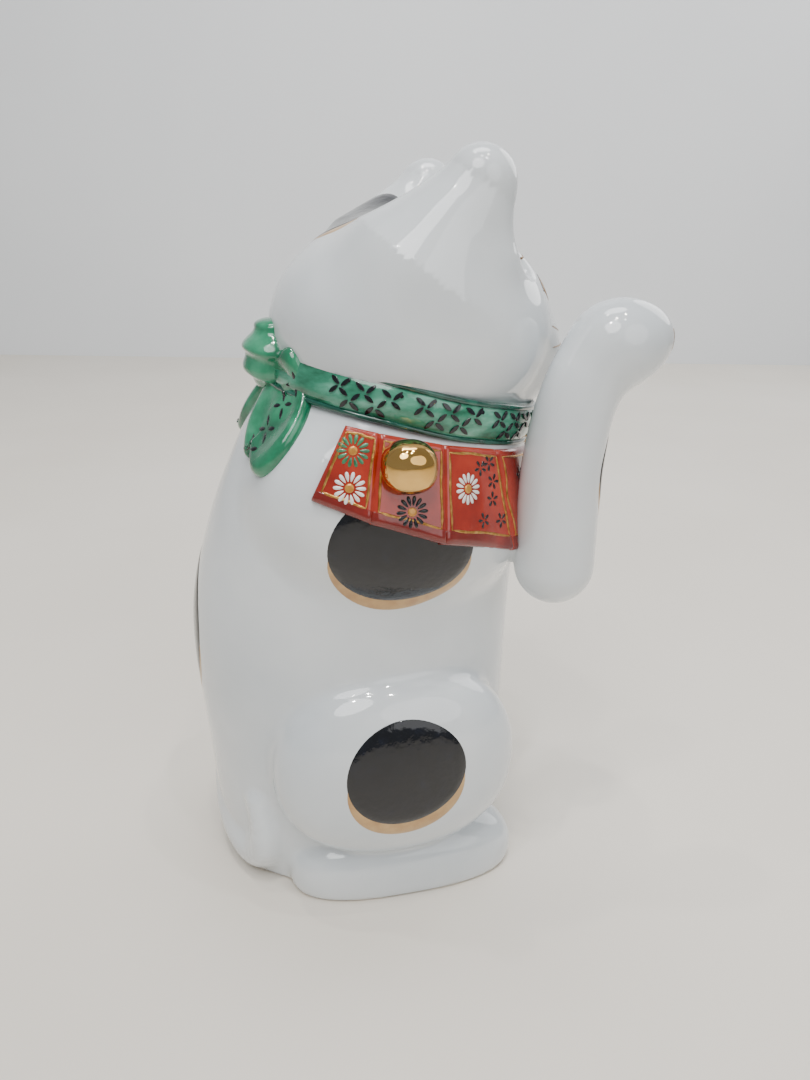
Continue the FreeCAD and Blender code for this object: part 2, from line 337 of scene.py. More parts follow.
def surface(values, low, step):
    """Surface nets: a vertex in every cell that the surface crosses, a quad for every crossed edge."""
    inside = values < 0
    corners = [(i, j, k) for i in (0, 1) for j in (0, 1) for k in (0, 1)]
    size = [n - 1 for n in values.shape]

    def shifted(array, corner):
        return array[tuple(slice(c, c + n) for c, n in zip(corner, size))]

    full = sum(shifted(inside, corner).astype(np.int8) for corner in corners)
    active = (full > 0) & (full < 8)
    cells = np.argwhere(active)
    number = np.full(active.shape, -1, np.int64)
    number[active] = np.arange(len(cells))
    total, crossed = np.zeros((len(cells), 3)), np.zeros(len(cells))
    for a in corners:
        for axis in range(3):
            if a[axis]:
                continue
            b = tuple(c + (axis == i) for i, c in enumerate(a))
            fa, fb = shifted(values, a)[active], shifted(values, b)[active]
            hit = (fa < 0) != (fb < 0)
            t = np.where(hit, fa / np.where(hit, fa - fb, 1), 0)
            total += hit[:, None] * (np.array(a) + t[:, None] * np.eye(3)[axis])
            crossed += hit
    verts = low + step * (cells + total / crossed[:, None])
    quads = []
    for axis in range(3):
        u, v = (axis + 1) % 3, (axis + 2) % 3
        first = [slice(1, -1)] * 3
        second = list(first)
        first[axis], second[axis] = slice(0, -1), slice(1, None)
        first, second = inside[tuple(first)], inside[tuple(second)]
        base = np.argwhere(first != second)
        faces_up = first[tuple(base.T)]
        base[:, u] += 1
        base[:, v] += 1
        ring = []
        for du, dv in ((0, 0), (1, 0), (1, 1), (0, 1)):
            cell = base.copy()
            cell[:, u] -= du
            cell[:, v] -= dv
            ring.append(number[tuple(cell.T)])
        ring = np.stack(ring, 1)
        ring[~faces_up] = ring[~faces_up][:, ::-1]
        quads.append(ring)
    return verts, np.concatenate(quads)


def relax(verts, quads, times, field=glaze):
    """Even out a mesh and keep it on its surface."""
    edges = np.concatenate([quads[:, [i, (i + 1) % 4]] for i in range(4)])
    edges = np.unique(np.sort(edges, 1), axis=0)
    for _ in range(times):
        total, count = np.zeros_like(verts), np.zeros(len(verts))
        for a, b in ((0, 1), (1, 0)):
            np.add.at(total, edges[:, a], verts[edges[:, b]])
            np.add.at(count, edges[:, a], 1)
        verts = verts + 0.6 * (total / count[:, None] - verts)
        verts = settle(verts, field, 1)
    return settle(verts, field, 2)


# ---------------------------------------------------------------- Blender meshes and materials


def add_mesh(name, verts, faces, material, slot, normals=None, node=None):
    """A smooth mesh from points in millimetres, riding on the body."""
    mesh = bpy.data.meshes.new(name)
    mesh.from_pydata((np.asarray(verts) * MM).tolist(), [], [list(map(int, f)) for f in faces])
    mesh.polygons.foreach_set("use_smooth", [True] * len(mesh.polygons))
    mesh.materials.append(material)
    mesh.update()
    if normals is not None:
        mesh.normals_split_custom_set_from_vertices(np.asarray(normals).tolist())
    piece = bpy.data.objects.new(name, mesh)
    bpy.context.scene.collection.objects.link(piece)
    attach(piece, BODY)
    if node:
        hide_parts(node)
    return piece


def rgb(text):
    """Linear colour from a hex value."""
    parts = [int(text[i : i + 2], 16) / 255 for i in (0, 2, 4)]
    return tuple(c / 12.92 if c <= 0.04045 else ((c + 0.055) / 1.055) ** 2.4 for c in parts) + (1.0,)


def glossy(name, stops, scale, rough=0.1, metal=0.0, coat=0.6, bump=0.03, fine=60.0, stretch=(1, 1, 1)):
    """A fired enamel or glaze: noise runs through the colour stops and lightly ripples the surface."""
    material = bpy.data.materials.new(name)
    material.use_nodes = True
    nodes, links = material.node_tree.nodes, material.node_tree.links
    shader = nodes["Principled BSDF"]
    place = nodes.new("ShaderNodeTexCoord")
    turn = nodes.new("ShaderNodeMapping")
    turn.inputs["Scale"].default_value = stretch
    links.new(place.outputs["Object"], turn.inputs["Vector"])
    noise = nodes.new("ShaderNodeTexNoise")
    noise.inputs["Scale"].default_value = scale
    noise.inputs["Detail"].default_value = 4.0
    links.new(turn.outputs["Vector"], noise.inputs["Vector"])
    ramp = nodes.new("ShaderNodeValToRGB")
    first, last = stops[0], stops[-1]
    ramp.color_ramp.elements[0].position, ramp.color_ramp.elements[0].color = first[0], rgb(first[1])
    ramp.color_ramp.elements[1].position, ramp.color_ramp.elements[1].color = last[0], rgb(last[1])
    for at, colour in stops[1:-1]:
        ramp.color_ramp.elements.new(at).color = rgb(colour)
    links.new(noise.outputs["Fac"], ramp.inputs["Fac"])
    links.new(ramp.outputs["Color"], shader.inputs["Base Color"])
    ripple = nodes.new("ShaderNodeTexNoise")
    ripple.inputs["Scale"].default_value = fine
    ripple.inputs["Detail"].default_value = 2.0
    links.new(place.outputs["Object"], ripple.inputs["Vector"])
    raised = nodes.new("ShaderNodeBump")
    raised.inputs["Strength"].default_value = bump
    raised.inputs["Distance"].default_value = 0.002
    links.new(ripple.outputs["Fac"], raised.inputs["Height"])
    links.new(raised.outputs["Normal"], shader.inputs["Normal"])
    shader.inputs["Roughness"].default_value = rough
    shader.inputs["Metallic"].default_value = metal
    shader.inputs["Coat Weight"].default_value = coat
    shader.inputs["Coat Roughness"].default_value = 0.04
    return material


WHITE_STOPS = [(0.3, "c9d0d5"), (0.55, "d8dde0"), (0.75, "d1d6d9")]
WHITE = glossy("glaze_white", WHITE_STOPS, 14, 0.06, bump=0.05, fine=55)
BARE = glossy("bare_base", [(0.3, "d6cdbd"), (0.7, "e3dccf")], 300, 0.75, coat=0.0, bump=0.3, fine=2500)
BLACK_STOPS = [(0.3, "06080d"), (0.6, "0b0e16"), (0.74, "121724")]
BLACK = glossy("enamel_black", BLACK_STOPS, 260, 0.12, coat=0.15, bump=0.1, fine=420)
TAN_STOPS = [(0.3, "ad8451"), (0.6, "c09a65"), (0.8, "ceac7b")]
TAN = glossy("enamel_ochre", TAN_STOPS, 180, 0.3, coat=0.4, bump=0.05, fine=300)
RIBBON_STOPS = [(0.3, "0c5238"), (0.5, "1f7a56"), (0.72, "4a9c79")]
RIBBON_GREEN = glossy("enamel_green_ribbon", RIBBON_STOPS, 70, 0.12, bump=0.12, fine=260)
GREEN_STOPS = [(0.28, "17583f"), (0.45, "2f7e62"), (0.6, "549c82"), (0.78, "7fb8a2")]
GREEN = glossy("enamel_green", GREEN_STOPS, 90, 0.12, bump=0.12, fine=260, stretch=(1, 1, 2.6))
EDGE_STOPS = [(0.3, "083328"), (0.6, "115042"), (0.8, "2a705c")]
DEEP_GREEN = glossy("enamel_green_edge", EDGE_STOPS, 140, 0.12, bump=0.1, fine=260)
RED = glossy("enamel_red", [(0.3, "7c1a0c"), (0.5, "992614"), (0.72, "b23a22")], 75, 0.14, bump=0.1, fine=240)
HEM_STOPS = [(0.3, "5f120c"), (0.6, "741a11"), (0.8, "8d261a")]
DEEP_RED = glossy("enamel_red_hem", HEM_STOPS, 90, 0.18, bump=0.1, fine=240)
GOLD = glossy("gold_bell", [(0.3, "c79748"), (0.7, "dfb46a")], 60, 0.05, 1.0, coat=0.2, bump=0.03, fine=200)
LINE_STOPS = [(0.3, "8d5f28"), (0.5, "b98943"), (0.7, "d8ab63")]
GOLD_LINE = glossy("gold_line", LINE_STOPS, 420, 0.3, 0.85, coat=0.2, bump=0.2, fine=900)
glossy("ink_gold_brown", [(0.3, "6d4a1f"), (0.7, "98703a")], 300, 0.32, 0.5, coat=0.3)
PETAL_WHITE = glossy("petal_white", [(0.3, "d8d6cf"), (0.7, "ecebe6")], 200, 0.25, coat=0.5)
PETAL_GREEN = glossy("petal_green", [(0.3, "1f5b3c"), (0.7, "3f8a5f")], 200, 0.2, coat=0.6)
CENTRE = glossy("petal_centre", [(0.3, "b8792c"), (0.7, "d29c4a")], 300, 0.3, 0.4, coat=0.4)


# ---------------------------------------------------------------- white porcelain

low = np.array(cad_box[0]) / MM - 6 * GRID
counts = [int(math.ceil(c)) for c in (np.array(cad_box[1]) / MM + 6 * GRID - low) / GRID]
verts, quads = surface(sample(glaze, low, counts, GRID), low, GRID)
verts = relax(verts, quads, 2)
normals = outward(verts)
FOOT = len(NAMES)  # the flat foot is the base disc's


def shares():
    """The casting that owns each face, with ragged borders evened out."""
    centre = verts[quads].mean(1)
    owner = np.stack([distance(centre) for _, distance, _ in CASTINGS], 1).argmin(1)
    for _ in range(4):
        votes = np.zeros((len(verts), FOOT + 1))
        for corner in range(4):
            np.add.at(votes, (quads[:, corner], owner), 1)
        owner = votes[quads].sum(1).argmax(1)
    down = outward(centre)[:, 2] < -0.75
    owner[(centre[:, 2] < 1.2) & down] = FOOT
    return owner


def loose_parts(chosen):
    """The chosen faces that aren't joined to the largest group of them."""
    index = np.flatnonzero(chosen)
    part = quads[index]
    label = np.arange(len(verts))
    while True:
        lowest = label[part].min(1)
        new = label.copy()
        np.minimum.at(new, part.ravel(), np.repeat(lowest, 4))
        new = new[new]
        if (new == label).all():
            break
        label = new
    groups = label[part[:, 0]]
    values, sizes = np.unique(groups, return_counts=True)
    return index[groups != values[sizes.argmax()]]


owner = shares()
for _ in range(3):
    for number in range(FOOT + 1):
        if not (owner == number).any():
            continue
        loose = loose_parts(owner == number)
        votes = np.zeros((len(verts), FOOT + 1))
        others = owner != number
        for corner in range(4):
            np.add.at(votes, (quads[others, corner], owner[others]), 1)
        gained = votes[quads[loose]].sum(1)
        owner[loose] = np.where(gained.max(1) > 0, gained.argmax(1), owner[loose])


def shell(part_quads, thick):
    """A closed skin: the outer faces, the same faces moved inwards, and a rim between them."""
    used, part = np.unique(part_quads, return_inverse=True)
    part = part.reshape(part_quads.shape)
    outer, way, count = verts[used], normals[used], len(used)
    sides = set(map(tuple, np.concatenate([part[:, [i, (i + 1) % 4]] for i in range(4)]).tolist()))
    rim = [(b, a, a + count, b + count) for a, b in sorted(sides) if (b, a) not in sides]
    faces = part.tolist() + (part[:, ::-1] + count).tolist() + rim
    return np.concatenate([outer, outer - way * thick]), faces, np.concatenate([way, -way])


for number, name in enumerate(NAMES + ["base_disc"]):
    chosen = owner == number
    if not chosen.any():
        print("no surface for", name)
        continue
    points, faces, ways = shell(quads[chosen], 1.0 if name == "nose" else 3.0)
    material, slot = (BARE, "base_glaze") if name == "base_disc" else (WHITE, "white_glaze")
    add_mesh(name + "_glaze", points, faces, material, slot, ways, name)

# A finder for the white surface, used to lay enamel on it.
body_tree = BVHTree.FromPolygons(verts.tolist(), quads.tolist())


# ---------------------------------------------------------------- tools for enamel laid on a surface


def rings_mesh(rings):
    """Closed faces over a stack of rings of equal count, capped by fans at both ends."""
    count = len(rings[0])
    points = np.concatenate(rings)
    faces = []
    for level in range(len(rings) - 1):
        for i in range(count):
            j = (i + 1) % count
            a, b = level * count, (level + 1) * count
            faces.append((a + i, a + j, b + j, b + i))
    first, last = len(points), len(points) + 1
    points = np.concatenate([points, [rings[0].mean(0)], [rings[-1].mean(0)]])
    end = (len(rings) - 1) * count
    for i in range(count):
        j = (i + 1) % count
        faces.append((first, j, i))
        faces.append((last, end + i, end + j))
    return points, faces


def cast(points, way, tree, back=30.0):
    """Places and normals where rays along way meet the surface."""
    found, ways = [], []
    way = Vector(way).normalized()
    for point in points:
        hit, normal, _, _ = tree.ray_cast(Vector(point) - way * back, way)
        if hit is None:
            hit, normal, _, _ = tree.find_nearest(Vector(point))
        found.append(hit)
        ways.append(normal)
    return np.array(found), np.array(ways)


def pad(outline, way, tree, high, rings=3, edge=0.5, refine=None, sink=0.25):
    """A thin raised patch inside an outline, laid on a surface seen along way: points and faces."""
    outline = np.asarray(outline, float)
    middle = outline.mean(0)
    tops, bottoms = [], []
    shares_out = [1.0, 0.97] + list(np.linspace(0.85, 0.06, rings))
    for share in shares_out:
        spots, ways = cast(middle + (outline - middle) * share, way, tree)
        if refine is not None:
            spots = settle(spots, refine, 2)
            ways = outward(spots, refine)
        lift = -sink if share == 1.0 else high * (1 - edge * max(share - 0.85, 0) / 0.12)
        tops.append(spots + ways * lift)
        if share in (shares_out[0], shares_out[-1]):
            bottoms.append(spots - ways * sink * 2)
    return rings_mesh([bottoms[1], bottoms[0]] + tops)


def oval(centre, across, along, half_a, half_b, count=48, wobble=0.0, turn=0.0):
    """An oval outline round a centre, in the plane of two directions."""
    angle = np.linspace(0, 2 * math.pi, count, endpoint=False)
    size = 1 + wobble * (np.sin(2 * angle + 0.7) + 0.6 * np.sin(3 * angle + 2.1))
    a, b = half_a * size * np.cos(angle), half_b * size * np.sin(angle)
    c, s = math.cos(math.radians(turn)), math.sin(math.radians(turn))
    a, b = a * c - b * s, a * s + b * c
    return np.asarray(centre, float) + a[:, None] * np.asarray(across) + b[:, None] * np.asarray(along)


def frame_of(way, up=(0, 0, 1)):
    """Two unit directions across a viewing direction: rightwards and upwards."""
    way = np.asarray(way, float) / np.linalg.norm(way)
    right = np.cross(way, up)
    right = right / np.linalg.norm(right)
    return right, np.cross(right, way)


def joined(parts):
    """Several point-and-face sets as one."""
    points, faces, base = [], [], 0
    for verts_part, faces_part in parts:
        points.append(np.asarray(verts_part))
        faces += [tuple(i + base for i in face) for face in faces_part]
        base += len(verts_part)
    return np.concatenate(points), faces


# ---------------------------------------------------------------- black spots with ochre crescents

SPOTS = [  # name, centre, way of looking at it, half width, half height, crescent below, turn
    ("shoulder", (-59, -7, 143), (0.93, 0, 0.36), 24, 21, 4.8, 0),
    ("haunch", (-63, -8.6, 62), (1, 0, 0), 21.8, 20.8, 5.4, 4),
    ("left_haunch", (63, -4, 66), (-1, 0, 0), 21, 18, 5.0, -4),
    ("left_shoulder", (59, -2, 147), (-0.93, 0, 0.36), 19, 18.5, 4.2, 0),
    ("back", (10, 60, 100), (0, -1, 0), 23, 29, 6.0, 0),
    ("arm", (-45, -80, 166), (0, 1, 0), 9.5, 15, 4.0, 0),
    ("crown", (11, -6, 246), (0, 0, -1), 17, 18, 6.0, 0),
]
for name, centre, way, wide, tall, crescent, tip in SPOTS:
    right, up = frame_of(way, (1, 0, 0) if name == "crown" else (0, 0, 1))
    low_centre = np.array(centre, float) - up * crescent
    ring = oval(low_centre, right, up, wide * 1.0, tall, 64, 0.015, tip)
    add_mesh(name + "_crescent", *pad(ring, way, body_tree, 0.10, 9, refine=glaze), TAN, "white_glaze")
    ring = oval(centre, right, up, wide, tall, 64, 0.02, tip)
    add_mesh(name + "_spot", *pad(ring, way, body_tree, 0.22, 9, refine=glaze), BLACK, "white_glaze")


# ---------------------------------------------------------------- collar, bow, bells


def field_piece(name, field, node, material, slot, step=0.7, margin=3.0, passes=2):
    """A small relief meshed from its own field inside a node's box."""
    low_corner, high_corner = box_mm(node)
    low_corner, high_corner = low_corner - margin, high_corner + margin
    spans = [int(math.ceil(c)) + 1 for c in (high_corner - low_corner) / step]
    points, faces = surface(sample(field, low_corner, spans, step), low_corner, step)
    points = relax(points, faces, passes, field)
    add_mesh(name, points, faces, material, slot, outward(points, field), node)


COLLAR_RADIUS, COLLAR_TILT = 43.5, math.radians(13.0)
COLLAR_MIDDLE = np.array([0.0, -19.5, 186.5])
COLLAR_UP = np.array([0.0, -math.sin(COLLAR_TILT), math.cos(COLLAR_TILT)])


def collar_place(turn, height=0.0, reach=6.0):
    """A place on the collar: degrees round from the cat's left, height on the band, reach outwards."""
    a = np.radians(turn)
    way = np.array([math.cos(a), math.sin(a) * math.cos(COLLAR_TILT), math.sin(a) * math.sin(COLLAR_TILT)])
    return COLLAR_MIDDLE + (COLLAR_RADIUS + reach) * way + height * COLLAR_UP, way


def collar_rings(half_tall, half_thick, centre_height, out=0.0, count=180, corners=28, power=2.8):
    """Sections of a rounded band all the way round the neck."""
    rings = []
    for turn in np.linspace(0, 360, count, endpoint=False):
        ring = []
        sway = 0.25 * math.sin(math.radians(3 * turn)) + 0.15 * math.sin(math.radians(7 * turn + 40))
        for angle in np.linspace(0, 2 * math.pi, corners, endpoint=False):
            c, s = math.cos(angle), math.sin(angle)
            across = half_thick * math.copysign(abs(c) ** (2 / power), c)
            tall = half_tall * math.copysign(abs(s) ** (2 / power), s)
            ring.append(collar_place(turn, centre_height + sway + tall, out + across)[0])
        rings.append(np.array(ring))
    return rings


def loop_mesh(rings):
    """Closed faces over rings that come back to the first one."""
    count, corners = len(rings), len(rings[0])
    faces = []
    for level in range(count):
        a, b = level * corners, ((level + 1) % count) * corners
        for i in range(corners):
            j = (i + 1) % corners
            faces.append((a + i, a + j, b + j, b + i))
    return np.concatenate(rings), faces


band_points, band_faces = loop_mesh(collar_rings(6.9, 6.1, 0.0))
add_mesh("collar_enamel", band_points, band_faces, GREEN, "green_enamel", None, "collar_band")
collar_tree = BVHTree.FromPolygons(band_points.tolist(), band_faces)
for side, height in (("upper", 6.1), ("lower", -6.1)):
    edge_points, edge_faces = loop_mesh(collar_rings(1.0, 1.2, height, 4.4, corners=12, power=2.2))
    add_mesh(f"collar_{side}_edge", edge_points, edge_faces, DEEP_GREEN, "green_enamel")

KNOT_HALF = (12.5, 10.5, 12.5)
knot_spot = held("bow_knot", KNOT_HALF, "mmm") + (0, -6.0, -3.5)
knot_body = lump(knot_spot, KNOT_HALF)


def knot_field(points):
    """The bow's knot: nested crescent folds that rise to a peak."""
    q = points - (knot_spot - (0, 0, 9.0))
    reach = np.sqrt((0.8 * q[:, 0]) ** 2 + 0.5 * q[:, 1] ** 2 + q[:, 2] ** 2)
    return knot_body(points) + 0.75 * np.cos(2 * math.pi * reach / 6.0)


LEAF = [  # Y and Z of the ribbon end's outline: narrow at the knot, broad below, two lobes at the end
    (30.0, 201.0),
    (38.0, 196.0),
    (44.5, 186.0),
    (47.0, 175.0),
    (46.0, 167.5),
    (43.0, 164.5),
    (40.0, 167.0),
    (36.0, 162.5),
    (29.5, 162.0),
    (22.0, 167.5),
    (16.5, 176.5),
    (16.5, 186.0),
    (20.0, 194.0),
    (24.5, 200.0),
]


LEAF_SHIFT = (-3.0, 3.5)


def ribbon_leaf(side):
    """A ribbon end draped on the back with a raised rim; side is -1 for the cat's right."""
    closed = np.array(LEAF[-3:] + LEAF + LEAF[:3]) + LEAF_SHIFT
    at = np.linspace(3, 3 + len(LEAF), 97)[:-1]
    outline = spline(np.arange(len(closed)), closed, at)
    way = np.array([-side * 0.82, -0.57, 0.0])
    start = np.column_stack([np.full(len(outline), side * 24.0), outline])
    middle = np.array([side * 24.0, 29.0, 182.5])
    layers, roots = [], []
    for share in (1.0, 0.985, 0.95, 0.9, 0.82, 0.72, 0.6, 0.45, 0.3, 0.16, 0.05):
        spots, _ = cast(middle + (start - middle) * share, way, body_tree)
        ways = outward(spots)
        rim = math.sqrt(max(1 - ((share - 0.84) / 0.16) ** 2, 0)) if share > 0.84 else 1.0
        dip = 0.5 - 0.5 * math.cos(math.pi * min(max((0.84 - share) / 0.3, 0), 1))
        layers.append(spots + ways * (3.4 * rim - 1.0 * dip + (0.25 * math.cos(9 * share) - 0.2)))
        if share in (1.0, 0.05):
            roots.append(spots - ways * 0.6)
    return rings_mesh([roots[1], roots[0]] + layers)


field_piece("bow_knot_enamel", knot_field, "bow_knot", RIBBON_GREEN, "green_enamel")
tail_trees = {}
for side, word in ((-1, "right"), (1, "left")):
    leaf_points, leaf_faces = ribbon_leaf(side)
    node = f"{word}_ribbon_tail"
    add_mesh(node + "_enamel", leaf_points, leaf_faces, RIBBON_GREEN, "green_enamel", None, node)
    tail_trees[word] = BVHTree.FromPolygons(leaf_points.tolist(), leaf_faces)

BELL_HALF, FRONT_BELL_HALF = (8.5, 8.7, 8.3), (9.0, 7.0, 8.6)
BELL_POWER = 2.35  # a little squarer than a ball
bell_spot = held("right_bell", BELL_HALF, "lmm")
front_bell_spot = held("front_bell", FRONT_BELL_HALF, "mlm")
for word, centre, half in (
    ("right", bell_spot, BELL_HALF),
    ("left", flip(bell_spot), BELL_HALF),
    ("front", front_bell_spot, FRONT_BELL_HALF),
):
    bell = lump(centre, half, 0, BELL_POWER)
    field_piece(f"{word}_bell_gilt", bell, f"{word}_bell", GOLD, "gold_lustre", 0.5, 2.0)

# ---------------------------------------------------------------- bib

PANEL_EDGES = {"top": (112, 101, 79, 56), "hem": (124, 105, 81, 49)}
PANELS = ["right_rear", "right_side", "right_front", "front", "left_front", "left_side", "left_rear"]


def bib_point(angle, level):
    """A point on the bib's top or hem, degrees from straight ahead, right side positive."""
    half_x, half_y, front_z, rise = BIB_SIZES[level]
    a = math.radians(angle)
    y = -half_y * math.cos(a)
    return np.array([-half_x * math.sin(a), y + BIB_CENTRE_Y, front_z + rise * (y + half_y)])


def panel_ends(number):
    """Edge angles of one of the seven panels at top and hem."""
    ends = {}
    for level, edges in PANEL_EDGES.items():
        every = list(edges) + [-e for e in reversed(edges)]
        ends[level] = (every[number], every[number + 1])
    return ends


class Panel:
    """One bib panel: u runs towards the cat's left, v from the top down, both 0 to 1."""

    def __init__(self, number):
        self.ends = panel_ends(number)
        self.curved = PANELS[number] == "front"
        self.wide = np.linalg.norm(self.flat(1, 0.5) - self.flat(0, 0.5))
        self.tall = np.linalg.norm(self.flat(0.5, 1) - self.flat(0.5, 0))

    def flat(self, u, v):
        """The plain facet, without its rounding."""
        rows = []
        for level in ("top", "hem"):
            start, end = self.ends[level]
            if self.curved:
                rows.append(bib_point(start + (end - start) * u, level))
            else:
                rows.append(bib_point(start, level) * (1 - u) + bib_point(end, level) * u)
        return rows[0] * (1 - v) + rows[1] * v

    def normal(self, u, v):
        """Outward direction of the facet."""
        step = 0.01
        across = self.flat(u + step, v) - self.flat(u - step, v)
        down = self.flat(u, v + step) - self.flat(u, v - step)
        way = np.cross(down, across)
        return way / np.linalg.norm(way)

    def at(self, u, v, lift=0.0):
        """The glazed surface: a soft pillow whose borders roll under."""
        near = min(u, 1 - u) * (60.0 if self.curved else self.wide)
        low_edge = min(v, 1 - v) * self.tall
        roll = 1.5
        drop = sum(0.9 * (1 - min(d / roll, 1)) ** 2 for d in (near, low_edge))
        pillow = 0.35 * math.sin(math.pi * min(max(v, 0), 1)) * math.sin(math.pi * min(max(u, 0), 1))
        return self.flat(u, v) + self.normal(u, v) * (pillow - drop + lift + 0.3)


def slab(panel, u_range, v_range, cells, thick, lift=0.0):
    """A closed slab over part of a panel."""
    across, down = cells
    us = u_range[0] + (u_range[1] - u_range[0]) * (0.5 - 0.5 * np.cos(np.linspace(0, math.pi, across + 1)))
    vs = v_range[0] + (v_range[1] - v_range[0]) * (0.5 - 0.5 * np.cos(np.linspace(0, math.pi, down + 1)))
    outer = [panel.at(u, v, lift) for v in vs for u in us]
    inner = [p - panel.normal(u, v) * thick for p, (v, u) in zip(outer, [(v, u) for v in vs for u in us])]
    count, row = len(outer), across + 1
    faces = []
    for j in range(down):
        for i in range(across):
            a, b = j * row + i, (j + 1) * row + i
            faces.append((a, b, b + 1, a + 1))
            faces.append((a + 1 + count, b + 1 + count, b + count, a + count))
    border = [i for i in range(row)] + [j * row + across for j in range(1, down + 1)]
    border += [down * row + i for i in range(across - 1, -1, -1)] + [j * row for j in range(down - 1, 0, -1)]
    for a, b in zip(border, border[1:] + border[:1]):
        faces.append((a, b, b + count, a + count))
    return np.array(outer + inner), faces


def brush(places, normals_at, width, high=0.22, sink=0.3):
    """A raised brush line through places, thinning at its ends and wavering a little in width."""
    places, normals_at = np.asarray(places, float), np.asarray(normals_at, float)
    along = np.gradient(places, axis=0)
    side = np.cross(normals_at, along)
    side /= np.maximum(np.linalg.norm(side, axis=1, keepdims=True), 1e-9)
    t = np.linspace(0, 1, len(places))
    half = width / 2 * (0.35 + 0.65 * np.minimum(1, 8 * np.minimum(t, 1 - t)))
    half = half * (1 + 0.14 * np.sin(23 * t + 1) + 0.08 * np.sin(51 * t))
    rings = []
    for p, n, s, h in zip(places, normals_at, side, half):
        rings.append(np.array([p - s * h - n * sink, p - s * h * 0.8 + n * high * 0.7, p + n * high,
                               p + s * h * 0.8 + n * high * 0.7, p + s * h - n * sink]))
    return rings_mesh(rings)


def panel_line(panel, start, end, width, count=26):
    """A gold line across a panel between two (u, v) places."""
    t = np.linspace(0, 1, count)[:, None]
    path = np.array(start) * (1 - t) + np.array(end) * t
    sway = 0.006 * np.sin(np.linspace(0, 9, count) + 3 * start[0] + 5 * end[1])
    path = path + sway[:, None]
    places = [panel.at(u, v) for u, v in path]
    ways = [panel.normal(u, v) for u, v in path]
    return brush(places, ways, width)


HEM_FROM = 0.86  # share of the way down where the darker hem starts
GOLD_LINE_WIDE = 0.95
panels = [Panel(number) for number in range(len(PANELS))]
panel_trees = []
for name, panel in zip(PANELS, panels):
    across = 60 if panel.curved else 22
    points, faces = slab(panel, (0, 1), (0, 1), (across, 26), 3.4)
    add_mesh(f"bib_{name}_enamel", points, faces, RED, "red_enamel", None, f"bib_panel_{name}")
    panel_trees.append(BVHTree.FromPolygons(points.tolist(), faces))
    points, faces = slab(panel, (0.005, 0.995), (HEM_FROM, 0.998), (across, 6), 1.5, 0.12)
    add_mesh(f"bib_{name}_hem", points, faces, DEEP_RED, "red_enamel")
    inset_u, top_v, low_v = 1.7 / panel.wide, 0.07, HEM_FROM - 0.01
    corners = [(inset_u, top_v), (1 - inset_u, top_v), (1 - inset_u, low_v), (inset_u, low_v)]
    steps = 60 if panel.curved else 26
    sides = zip(corners, corners[1:] + corners[:1])
    lines = [panel_line(panel, a, b, GOLD_LINE_WIDE, steps) for a, b in sides]
    add_mesh(f"bib_{name}_gold_lines", *joined(lines), GOLD_LINE, "gold_lustre")


def petal_outline(centre, right, up, angle, start, length, width, count=14):
    """A teardrop that starts some way out from a centre and points away from it."""
    t = np.linspace(0, 2 * math.pi, count, endpoint=False)
    along = start + length * (0.5 - 0.5 * np.cos(t))
    share = (along - start) / length
    side = width / 2 * np.sin(t) * (0.55 + 0.75 * share)
    c, s = math.cos(angle), math.sin(angle)
    a, b = along * c - side * s, along * s + side * c
    return centre + a[:, None] * right + b[:, None] * up


def flower(centre, way, tree, petals, start, length, width, high=0.25, turn=0.0):
    """A ring of petals laid on a surface."""
    right, up = frame_of(way)
    angles = [turn + 2 * math.pi * k / petals for k in range(petals)]
    return joined(
        [pad(petal_outline(centre, right, up, a, start, length, width), way, tree, high, 1) for a in angles]
    )


def button(centre, way, tree, radius, high=0.4):
    """A small raised dot."""
    right, up = frame_of(way)
    return pad(oval(centre, right, up, radius, radius, 18), way, tree, high, 3)


DAISIES = [  # panel, u, v, enamel
    (0, 0.42, 0.27, PETAL_GREEN),
    (0, 0.55, 0.70, PETAL_WHITE),
    (1, 0.52, 0.76, BLACK),
    (2, 0.34, 0.42, PETAL_WHITE),
    (3, 0.25, 0.45, PETAL_WHITE),
    (3, 0.75, 0.45, PETAL_WHITE),
    (4, 0.66, 0.42, PETAL_WHITE),
    (5, 0.48, 0.76, BLACK),
    (6, 0.58, 0.27, PETAL_GREEN),
    (6, 0.45, 0.70, PETAL_WHITE),
]
SPRIG = ((0.78, 0.14), (0.6, 0.2), (0.8, 0.32), (0.74, 0.5), (0.55, 0.72), (0.84, 0.7))
SMALL_FLOWERS = [(2, u, v) for u, v in SPRIG]
SMALL_FLOWERS += [(4, 1 - u, v) for _, u, v in SMALL_FLOWERS]
SMALL_FLOWERS += [(3, u, v) for u in (0.12, 0.88) for v in (0.25, 0.7)] + [(3, 0.38, 0.72), (3, 0.62, 0.72)]
petal_sets = {}
centres = []
for number, u, v, enamel in DAISIES:
    panel, tree = panels[number], panel_trees[number]
    centre, way = panel.at(u, v), -panel.normal(u, v)
    petal_sets.setdefault(enamel.name, []).append(flower(centre, way, tree, 14, 1.9, 3.3, 1.25))
    centres.append(button(centre, way, tree, 1.5))
for number, u, v in SMALL_FLOWERS:
    panel, tree = panels[number], panel_trees[number]
    centre, way = panel.at(u, v), -panel.normal(u, v)
    turn = 0.6 * u + 2.0 * v
    petal_sets.setdefault("enamel_black", []).append(flower(centre, way, tree, 5, 0.5, 2.2, 1.0, 0.2, turn))
for enamel_name, sets in petal_sets.items():
    add_mesh(f"bib_petals_{enamel_name}", *joined(sets), bpy.data.materials[enamel_name], "red_enamel")
add_mesh("bib_daisy_centres", *joined(centres), CENTRE, "gold_lustre")

# ---------------------------------------------------------------- petals on the collar and ribbon

PETAL_LONG, PETAL_WIDE = 3.7, 1.35
LATTICE_STEP, LATTICE_HALF = 4.3, 1.75


